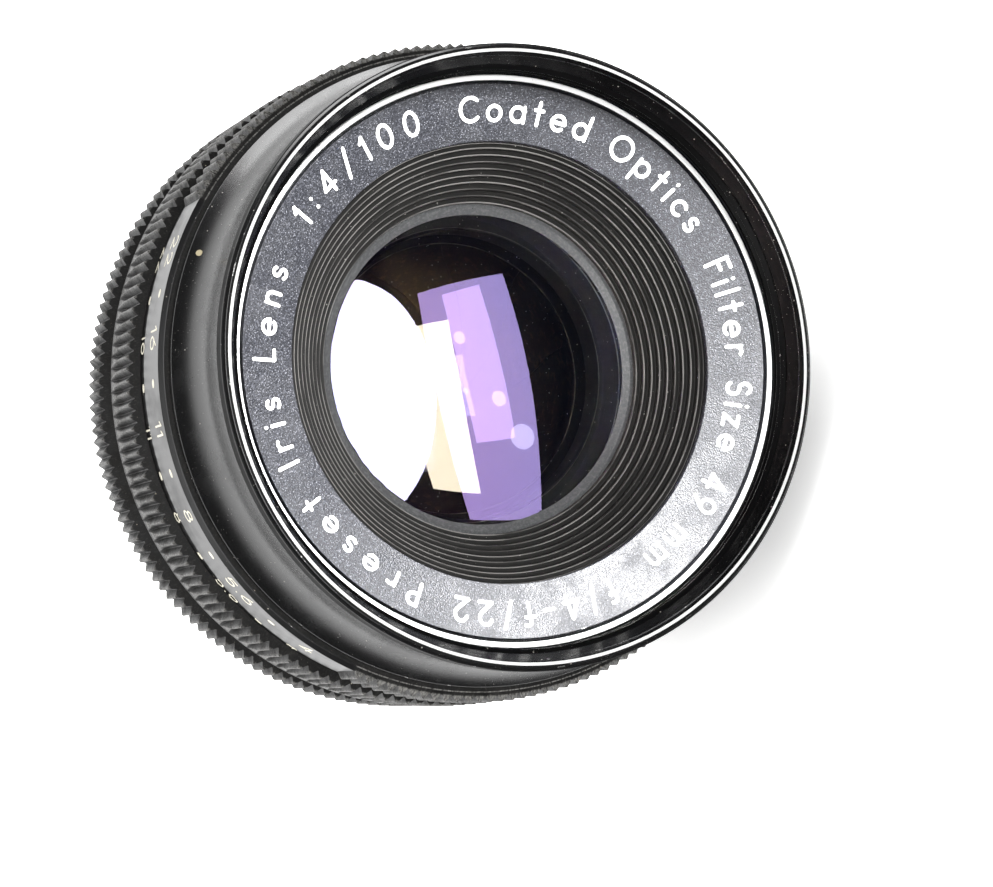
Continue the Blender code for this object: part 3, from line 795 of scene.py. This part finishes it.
def front_baffle():
    """Stepped cone of treads, each with a narrow raised lip."""
    top_r, top_h, foot_r, foot_h, ridges = 18.6, 31.0, 14.2, 25.9, 9
    drop = (top_h - foot_h) / ridges
    inset = (top_r - foot_r) / ridges
    steps = []
    for i in range(ridges):
        r, low = foot_r + inset * i, foot_h + drop * i
        steps += [(r + 0.04, low + 0.06), (r + 0.04, low + 0.88 * drop), (r + 0.2 * inset, low + drop),
                  (r + 0.94 * inset, low + 0.86 * drop)]
    loop = [(top_r, top_h), (21.6, top_h), (21.6, 29.95), (19.6, 29.95), (15.4, foot_h), (foot_r, foot_h)]
    ring("front_baffle_steps", loop + steps, BAFFLE, ["front_baffle"], 0.05)


def front_group():
    rim = [(13.95, 25.8), (15.3, 25.8), (15.3, 24.6), (14.65, 24.6), (14.45, 24.95), (13.35, 25.4),
           (13.35, 25.5)]
    ring("front_retaining_rim", rim, GREY_RIM, ["front_retaining_ring"], 0.05)
    bore_r = 16.65
    tube = [(19.95, 29.7), (21.6, 29.7), (21.6, 29.05), (20.1, 29.05), (20.1, 14.3), (bore_r, 14.3)]
    tube += thread_rows(14.5, 18.6, 0.6, bore_r, 17.0) + [(bore_r, 18.9)]
    tube += [(13.6, 18.9), (13.6, 19.3), (14.6, 19.3), (14.6, 24.3), (15.6, 24.3), (15.8, 25.7)]
    ring("front_cell_tube", tube, INTERIOR, ["front_cell"], 0.06)


def lens_surface(curve_r, vertex_h, rim_r, rings=20):
    """Points from beside the vertex to the rim; with a negative curve radius they rise towards the rim."""
    centre_h = vertex_h - curve_r
    radii = [rim_r * i / rings for i in range(1, rings + 1)]
    return [(r, centre_h + copysign(sqrt(curve_r * curve_r - r * r), curve_r)) for r in radii]


def glass(name, front, rear, rim_r, coats, replaced):
    """A lens with two coats and a black edge; each surface is a curve radius and a vertex height."""
    steps = 128
    section = lens_surface(*front, rim_r) + lens_surface(*rear, rim_r)[::-1]
    count, half = len(section), len(section) // 2
    verts = [clock(r, 360.0 * s / steps, h) for s in range(steps) for r, h in section]
    verts += [clock(0.0, 0.0, front[1]), clock(0.0, 0.0, rear[1])]
    front_pole, rear_pole = steps * count, steps * count + 1
    faces = loop_faces(steps, count, count - 1)
    kinds = ([0] * (half - 1) + [2] + [1] * (half - 1)) * steps
    for s in range(steps):
        here, there = s * count, (s + 1) % steps * count
        faces += [(front_pole, there, here), (rear_pole, here + count - 1, there + count - 1)]
        kinds += [0, 1]
    piece = finish_mesh(name, verts, faces, [*coats, EDGE_BLACK])
    piece.data.polygons.foreach_set("material_index", kinds)
    place_piece(piece, "barrel", replaced)


def all_glass():
    glass("front_doublet", (33.0, 28.1), (160.0, 20.2), 14.4, (FRONT_COAT, VIOLET_COAT),
          ["front_element", "second_element"])
    glass("center_singlet", (-42.0, 17.5), (36.0, 16.45), 11.6, (LILAC_COAT, WEAK_COAT), ["center_element"])
    glass("rear_doublet", (-160.0, 9.0), (-40.0, 2.4), 12.95, (AMBER_COAT, AMBER_COAT),
          ["fourth_element", "rear_element"])


def center_cell():
    loop = [(11.75, 18.6), (16.4, 18.6), (16.4, 14.2), (11.0, 14.2), (11.0, 14.3), (11.75, 14.4)]
    ring("center_cell_ring", loop, INTERIOR, ["center_cell"], 0.06)


def blade_edges(along):
    """Inner and outer radius of a leaf at an angle along it, with rounded ends."""
    inner_round, outer_round = 14.0, 6.0
    reach = min(along + BLADE_END, BLADE_SPAN + BLADE_END - along)
    inner_part = min(1.0, max(0.0, reach / inner_round))
    outer_part = min(1.0, max(0.0, reach / outer_round))
    inner = PIVOT_R - (PIVOT_R - STOP_R) * sqrt(1 - (1 - inner_part) ** 2)
    outer = PIVOT_R + (BLADE_OUTER_R - PIVOT_R) * sqrt(1 - (1 - outer_part) ** 2)
    return inner, outer


def iris_leaves():
    """Ten thin climbing crescents, closed down to the smallest stop."""
    rows, across = 72, 4
    front_face = [(k / across, 0.5) for k in range(across + 1)]
    section = front_face + [(share, -side) for share, side in front_face[::-1]]
    closing = 2 * asin((STOP_R - CLOSED_R) / (2 * PIVOT_R))
    swing = Matrix.Rotation(-closing, 3, "Y")
    for number in range(BLADES):
        station = number * 360.0 / BLADES
        pivot = clock(PIVOT_R, station, 0.0)
        verts = []
        for i in range(rows + 1):
            along = -BLADE_END + (BLADE_SPAN + 2 * BLADE_END) * i / rows
            inner, outer = blade_edges(along)
            for share, side in section:
                height = BLADE_FOOT_H + BLADE_RISE * (along + BLADE_END) + side * BLADE_THICKNESS
                flat = clock(outer + (inner - outer) * share, station - along, 0.0) - pivot
                verts.append(pivot + swing @ flat + clock(0.0, 0.0, height))
        node = f"iris_blade_{number + 1:02d}"
        piece = finish_mesh(f"iris_leaf_{number + 1:02d}", verts, bar_faces(rows + 1, len(section)), [BLADE])
        place_piece(piece, node, [node])


def preset_ring():
    """Front ring: smooth scale arc, teeth round the rest."""
    tip_r = 28.5
    outer = [(24.3, 24.85), (27.6, 24.85), (28.02, 24.62), (tip_r, 24.3), (tip_r, 20.2), (27.98, 19.8),
             (27.5, 19.75), (24.3, 19.75)]
    knurl = Knurl(tip_r, SCALE_ARC[1], 360.0 + SCALE_ARC[0], SCALE_R)
    levels = with_root(fillet(outer, 0.05), knurl.root_r)
    knurled_ring("preset_ring_body", levels, knurl, "preset_ring", "preset_ring")
    arc_band("preset_scale_band", SCALE_R, 19.9, 24.64)


def arc_band(name, radius, low, high):
    """Thin satin skin along the scale arc, with a chamfer at its front edge."""
    start, end = SCALE_ARC
    count, inset = 192, 0.15
    section = [(radius - 0.5, high + 0.16), (radius - 0.5, high + 0.23), (radius - 0.39, high + 0.23),
               (radius + BAND_LIFT, high), (radius + BAND_LIFT, low), (radius - 0.1, low)]
    section = fillet(section, 0.03)
    angles = [start + inset + (end - start - 2 * inset) * s / count for s in range(count + 1)]
    verts = [clock(r, angle, h) for angle in angles for r, h, _ in section]
    wear_and_highlight = [worn_and_lit for _, _, worn_and_lit in section] * (count + 1)
    piece = finish_mesh(name, verts, bar_faces(count + 1, len(section)), [ANODISED_GLOSS], wear_and_highlight)
    place_piece(piece, "preset_ring")


def ring_scale(name, ring_r, middle_h, height, half_width, body):
    """Numbers and half-stop dots, with their tops towards the front, reading away from the index."""
    radius = ring_r + BAND_LIFT
    gap = 0.3 * height
    fill = Engraving(half_width, INLAY)
    dots = Engraving(0.33, INLAY)
    for i, stop in enumerate(STOPS):
        centre = -2 * HALF_STOP * i
        for letter, _, place in letter_places(stop, height, gap, -text_width(stop, height, gap) / 2):

            def on_ring(x, y, lift, centre=centre, place=place):
                return clock(radius + lift, centre - degrees((x + place) / radius), middle_h + y - height / 2)

            fill.glyph(letter, height, on_ring)
        if i < len(STOPS) - 1:

            def on_dot(x, y, lift, centre=centre - HALF_STOP):
                return clock(radius + lift, centre - degrees(x / radius), middle_h + y)

            dots.stroke([(-0.05, 0.0), (0.05, 0.0)], on_dot)
    fill.build(name, CREAM_FILL, body)
    dots.build(name + "_dots", CREAM_FILL, body)


def aperture_ring():
    """Rear control ring: dark scale band, and teeth that run out into a smooth shoulder."""
    top, foot = 19.45, 17.55
    outer = [(24.3, top), (APERTURE_SCALE_R - 0.2, top), (APERTURE_SCALE_R, top - 0.2),
             (APERTURE_SCALE_R, foot), (GRIP_R - TOOTH_DEPTH, 17.22), (GRIP_R, 16.9), (GRIP_R, 13.2),
             (GRIP_R, 12.6), (GRIP_R, 12.0), (GRIP_R, 11.4), (28.3, 10.2), (27.5, 9.8), (24.3, 9.8)]
    knurl = Knurl(GRIP_R)

    def root(height):
        run_out = min(1.0, max(0.0, (13.2 - height) / 1.8))
        return knurl.root_r + TOOTH_DEPTH * run_out

    levels = with_root(fillet(outer, 0.05), root)
    levels = [level if level[1] < foot - 0.06 else (*level[:3], level[0]) for level in levels]
    knurled_ring("aperture_ring_body", levels, knurl, "aperture_ring", "aperture_ring")
    band_r = APERTURE_SCALE_R + BAND_LIFT
    band = [(band_r - 0.33, top - 0.15), (band_r - 0.33, top + 0.02), (band_r - 0.2, top + 0.02),
            (band_r, top - 0.19), (band_r, foot + 0.02), (band_r - 0.2, foot + 0.02)]
    ring("aperture_scale_band", band, ANODISED_DARK, size=0.04, body="aperture_ring")


def grip_ring():
    """Fixed rear ring: knurled band and the plain collar that its set screws go through."""
    outer = [(27.38, 6.82), (27.45, 6.82), (GRIP_R - TOOTH_DEPTH, 6.4), (GRIP_R, 6.1), (GRIP_R, 3.0),
             (28.3, 2.5), (24.3, 2.5), (24.3, 6.82)]
    knurl = Knurl(GRIP_R)
    knurled_ring("grip_ring_band", with_root(fillet(outer, 0.05), knurl.root_r), knurl, "barrel", "grip_ring")
    loop = [(26.8, 9.5), (27.4, 9.5), (27.4, 6.75), (24.3, 6.75), (24.3, 9.3), (26.8, 9.3)]
    collar = ring("grip_ring_collar", loop, ANODISED_INNER, size=0.05)
    for i, angle in enumerate(GRIP_SCREW_ANGLES):
        place = radial_frame(angle, GRIP_SCREW_H)
        drill(collar, place, [(0.95, 26.0), (0.95, 28.0)])
        profile = [(0.86, 23.0), (0.86, 27.08), (0.76, 27.18)]
        screw = slotted_screw(f"grip_set_screw_{i + 1}", place, profile, 0.13, 0.35)
        place_piece(screw, "barrel", [f"grip_screw_{i + 1}"])


def radial_frame(angle, height):
    """A frame whose Z points outwards from the axis at a clock angle."""
    return Matrix.Translation(clock(0.0, 0.0, height)) @ facing(clock(1.0, angle, 0.0)).to_4x4()


def axial_frame(radius, angle):
    """A frame whose Z points backwards out of the mount, on a screw's own axis."""
    return Matrix.Translation(clock(radius, angle, 0.0)) @ facing(Vector((0.0, 1.0, 0.0))).to_4x4()


def turned_solid(name, profile, place, materials, steps=40):
    """A solid turned from (radius, length) points about the Z of a frame."""
    verts, count = [], len(profile)
    for s in range(steps):
        a = 2 * pi * s / steps
        verts += [place @ Vector((r * cos(a) * MM, r * sin(a) * MM, z * MM)) for r, z in profile]
    faces = loop_faces(steps, count, count - 1)
    faces += [tuple(range(0, steps * count, count))[::-1], tuple(range(count - 1, steps * count, count))]
    return finish_mesh(name, verts, faces, materials)


def cut_away(piece, cutter):
    """Take the cutter's shape out of the piece, and keep only the result."""
    step = piece.modifiers.new("cut", "BOOLEAN")
    step.object = cutter
    step.operation = "DIFFERENCE"
    result = bpy.data.meshes.new_from_object(piece.evaluated_get(bpy.context.evaluated_depsgraph_get()))
    piece.modifiers.clear()
    piece.data = result
    bpy.data.objects.remove(cutter)
    piece.data.shade_smooth()
    piece.data.set_sharp_from_angle(angle=radians(SHARP))


def drill(piece, place, profile):
    cut_away(piece, turned_solid("drill", profile, place, [ANODISED_INNER]))


def slotted_screw(name, place, profile, slot_half, slot_depth):
    """A turned screw with a straight driver slot across its outer end."""
    screw = turned_solid(name, profile, place, [SCREW_STEEL])
    end_r, end_z = profile[-1]
    reach = profile[-2][0] + 0.5
    low, high = (end_z - slot_depth) * MM, (end_z + 0.5) * MM
    corners = [(x * reach * MM, y * slot_half * MM, z) for x in (-1, 1) for y in (-1, 1) for z in (low, high)]
    verts = [place @ Vector(c) for c in corners]
    faces = [(0, 1, 3, 2), (4, 6, 7, 5), (0, 4, 5, 1), (2, 3, 7, 6), (0, 2, 6, 4), (1, 5, 7, 3)]
    cut_away(screw, finish_mesh("slot_cutter", verts, faces, [SCREW_STEEL], smooth=False))
    return screw


def mount():
    """Chromed flange with its thread and three countersunk screws, and the light shield inside."""
    crest_r, root_r = 20.9, 20.45
    loop = [(19.0, 2.3), (26.3, 2.3), (26.3, 0.35), (25.95, 0.0), (21.05, 0.0), (20.95, 0.3), (root_r, 0.3),
            (root_r, -0.45)]
    loop += thread_rows(-0.5, -3.8, 1.0, crest_r, root_r)
    loop += [(root_r, -3.85), (root_r - 0.2, THREAD_END_H), (19.1, THREAD_END_H), (19.0, -4.1)]
    flange = ring("mount_flange_thread", loop, CHROME, ["mount_ring"], 0.06)
    for i, angle in enumerate(MOUNT_SCREW_ANGLES):
        place = axial_frame(MOUNT_SCREW_RADIUS, angle)
        drill(flange, place, [(0.9, -3.0), (0.9, -1.15), (1.6, -0.25), (1.6, 0.5)])
        profile = [(0.6, -5.4), (0.6, -1.1), (1.42, -0.32), (1.42, -0.18), (1.32, -0.1)]
        screw = slotted_screw(f"mount_screw_head_{i + 1}", place, profile, 0.19, 0.42)
        place_piece(screw, "barrel", [f"mount_screw_{i + 1}"])
    shield = [(13.2, 2.35), (18.7, 1.0), (18.7, -0.2), (18.2, -0.2), (18.2, 0.72)]
    grooves, inset, rise = 6, 0.72, 0.17
    for i in range(grooves):
        r = 17.6 - inset * i
        shield += [(r, 0.9 + rise * i), (r - 0.1, 0.72 + rise * i)]
    ring("rear_shield_cone", shield + [(13.2, 1.75)], BAFFLE, ["rear_light_shield"], 0.04)


def rear_group():
    loop = [(12.5, 9.85), (16.65, 9.85), (16.65, 2.6), (14.05, 2.6), (14.05, 4.5), (13.2, 4.5), (13.2, 9.65),
            (12.5, 9.65)]
    ring("rear_cell_tube", loop, INTERIOR, ["rear_cell"], 0.06)
    rim = [(12.9, 4.3), (13.85, 4.3), (13.85, 2.7), (12.4, 2.7), (11.9, 3.5), (11.9, 3.95)]
    ring("rear_retaining_rim", rim, ANODISED_INNER, ["rear_retaining_ring"], 0.05)


def index_mark():
    """Round cream dot on the flare that the scales are read against."""
    fill = Engraving(0.3, INLAY)
    middle_r, arc_turn, angle = 26.74, 0.6, -0.4

    def on_flare(x, y, lift):
        radius, height = on_flare_arc(arc_turn - y / FLARE_CURVE_R, lift)
        return clock(radius, angle + degrees(x / middle_r), height)

    fill.stroke([(0.0, -0.05), (0.0, 0.05)], on_flare)
    fill.build("index_dot", INDEX_FILL, "barrel")


def carried_nodes():
    """Give the CAD nodes that stay visible their finished materials."""
    finishes = {"main_barrel": ANODISED_INNER, "iris_housing": INTERIOR, "iris_cam_ring": STEEL,
                "friction_washer": STEEL, "preset_stop_pin": STEEL, "aperture_drive_pin": STEEL,
                "click_ball": STEEL, "click_spring": STEEL}
    for node, material in finishes.items():
        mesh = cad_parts[node].data
        mesh.materials.clear()
        mesh.materials.append(material)


# Surroundings

def aimed(azimuth, elevation):
    """Unit vector from the aim point towards a stand at an azimuth and elevation."""
    a, e = radians(azimuth), radians(elevation)
    return Vector((sin(a) * cos(e), -cos(a) * cos(e), sin(e)))


def camera():
    data = bpy.data.cameras.new("camera")
    data.lens = CAMERA_LENS
    data.clip_start = 0.01
    item = add_object("camera", data)
    towards = aimed(CAMERA_AZIMUTH, CAMERA_ELEVATION)
    turn = facing(towards) @ Matrix.Rotation(radians(-CAMERA_ROLL), 3, "Z")
    item.matrix_world = Matrix.Translation(Vector(CAMERA_AIM) + towards * CAMERA_DISTANCE) @ turn.to_4x4()
    bpy.context.scene.camera = item
    return item


def soft_light(name, place, size, radiance, turn, seen_in=("glossy", "diffuse"), only=(),
               colour=(1.0, 1.0, 1.0), shape="RECTANGLE"):
    """A softbox of an even radiance.

    It shows in the kinds of ray that are named, and lights only the pieces that are named, if any are.
    """
    data = bpy.data.lights.new(name, "AREA")
    data.shape = shape
    data.color = colour
    data.size, data.size_y = size
    data.energy = radiance * pi * size[0] * size[1]
    item = add_object(name, data)
    item.matrix_world = Matrix.Translation(place) @ turn.to_4x4()
    item.visible_camera = False
    item.visible_glossy = "glossy" in seen_in
    item.visible_diffuse = "diffuse" in seen_in
    item.visible_transmission = "transmission" in seen_in
    if only:
        lit = bpy.data.collections.new(name + "_lit")
        for piece in only:
            lit.objects.link(bpy.data.objects[piece])
        item.light_linking.receiver_collection = lit


def lights(view):
    """Softboxes and lamps round the camera, one at the side, and soft fills from above.

    Places and sizes beside the camera are shares of the distance from the lens, along the camera's own axes.
    The strips and lamps show only as patches and glints on the inner surfaces of the front glass.
    """
    axes = view.matrix_world.to_3x3()
    right, up, back = axes.col
    lens = Vector((0.0, -0.03, 0.0))
    far = 0.9
    inside = {"seen_in": ("transmission",)}

    def beside_camera(name, x, y, size, radiance, tilt=0.0, nearer=0.0, **rest):
        distance = far - nearer
        place = lens + (back + right * x + up * y) * distance
        turn = axes @ Matrix.Rotation(radians(tilt), 3, "Z")
        soft_light(name, place, (size[0] * distance, size[1] * distance), radiance, turn, **rest)

    beside_camera("main_softbox", 0.06, -0.02, (0.78, 0.86), 5.6)
    beside_camera("strip_softbox", 0.857, 0.3, (0.187, 0.392), 5.2, 11.0, colour=(0.98, 0.76, 0.62), **inside)
    beside_camera("inner_strip", 0.868, 0.225, (0.08, 0.215), 5.5, 13.0, 0.02, colour=(1.0, 0.66, 0.5),
                  **inside)
    beside_camera("warm_strip", 0.96, 0.31, (0.12, 0.27), 14.0, 9.0, 0.04, colour=(1.0, 1.0, 0.27), **inside)
    for i, (x, y, size) in enumerate(LAMPS):
        beside_camera(f"lamp_{i + 1}", x, y, (size, 0.8 * size), 4.0, nearer=0.06, colour=(1.0, 0.95, 0.5),
                      shape="ELLIPSE", **inside)
    beside_camera("window", -0.1, -0.05, (1.08, 1.7), 100.0, nearer=0.05, seen_in=("glossy",),
                  only=("front_doublet",), shape="ELLIPSE")
    beside_camera("sheen_softbox", 0.66, 0.94, (0.55, 0.4), 430.0,
                  only=("name_ring_plate", "name_ring_lip", "name_ring_lettering"))
    side = Vector((0.816, 0.027, 0.576))
    soft_light("side_softbox", lens + side * far, (0.7, 0.7), 6.5, facing(side), only=("front_barrel_shell",))
    down = Matrix.Identity(3)
    soft_light("overhead_fill", (0.0, 0.2, 1.2), (1.6, 1.6), 1.0, down, ("diffuse",))
    soft_light("floor_fill", (0.0, 0.0, 1.0), (2.4, 2.4), 3.0, down, ("diffuse",), ("floor",))


def surroundings():
    """White world that is bright behind the lens and dim in front of it, and the floor."""
    dim, bright, backdrop, seen_through = 0.05, 2.2, 1.1, 0.01
    world = bpy.data.worlds.new("studio")
    bpy.context.scene.world = world
    sky = Nodes(world)
    back = sky.node("SeparateXYZ", Vector=sky.node("TexCoord").outputs["Generated"]).outputs[1]
    path = sky.node("LightPath")
    lit = sky.span(back, 0.2, 0.5, bright, dim)
    shown = sky.mix(path.outputs["Is Camera Ray"], lit, backdrop)
    through = sky.mix(path.outputs["Is Transmission Ray"], shown, seen_through)
    sky.fill(sky.tree.nodes["Background"], {"Strength": through, "Color": (1.0, 1.0, 1.0, 1.0)})

    gap, reach = 0.0005, 3.0
    floor_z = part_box("grip_ring")[0].z - gap
    verts = [(x * reach, y * reach, floor_z) for x, y in ((-1, -1), (1, -1), (1, 1), (-1, 1))]
    floor = finish_mesh("floor", verts, [(0, 1, 2, 3)], [floor_finish()], smooth=False)
    floor.visible_glossy = False
    floor.visible_transmission = False
    floor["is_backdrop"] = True


bpy.context.scene.view_settings.view_transform = "Standard"
surroundings()
VIEW = camera()

front_barrel()
name_ring()
name_lettering()
front_baffle()
front_group()
all_glass()
center_cell()
iris_leaves()
preset_ring()
ring_scale("preset_scale_marks", SCALE_R, 22.85, 1.7, 0.1, "preset_ring")
aperture_ring()
ring_scale("aperture_scale_marks", APERTURE_SCALE_R, 18.42, 1.45, 0.095, "aperture_ring")
grip_ring()
mount()
rear_group()
index_mark()
carried_nodes()
lights(VIEW)

boxes = {"cad": CAD_BOX, "visual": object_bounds()}
{k: [list(map(float, corner)) for corner in box] for k, box in boxes.items()}
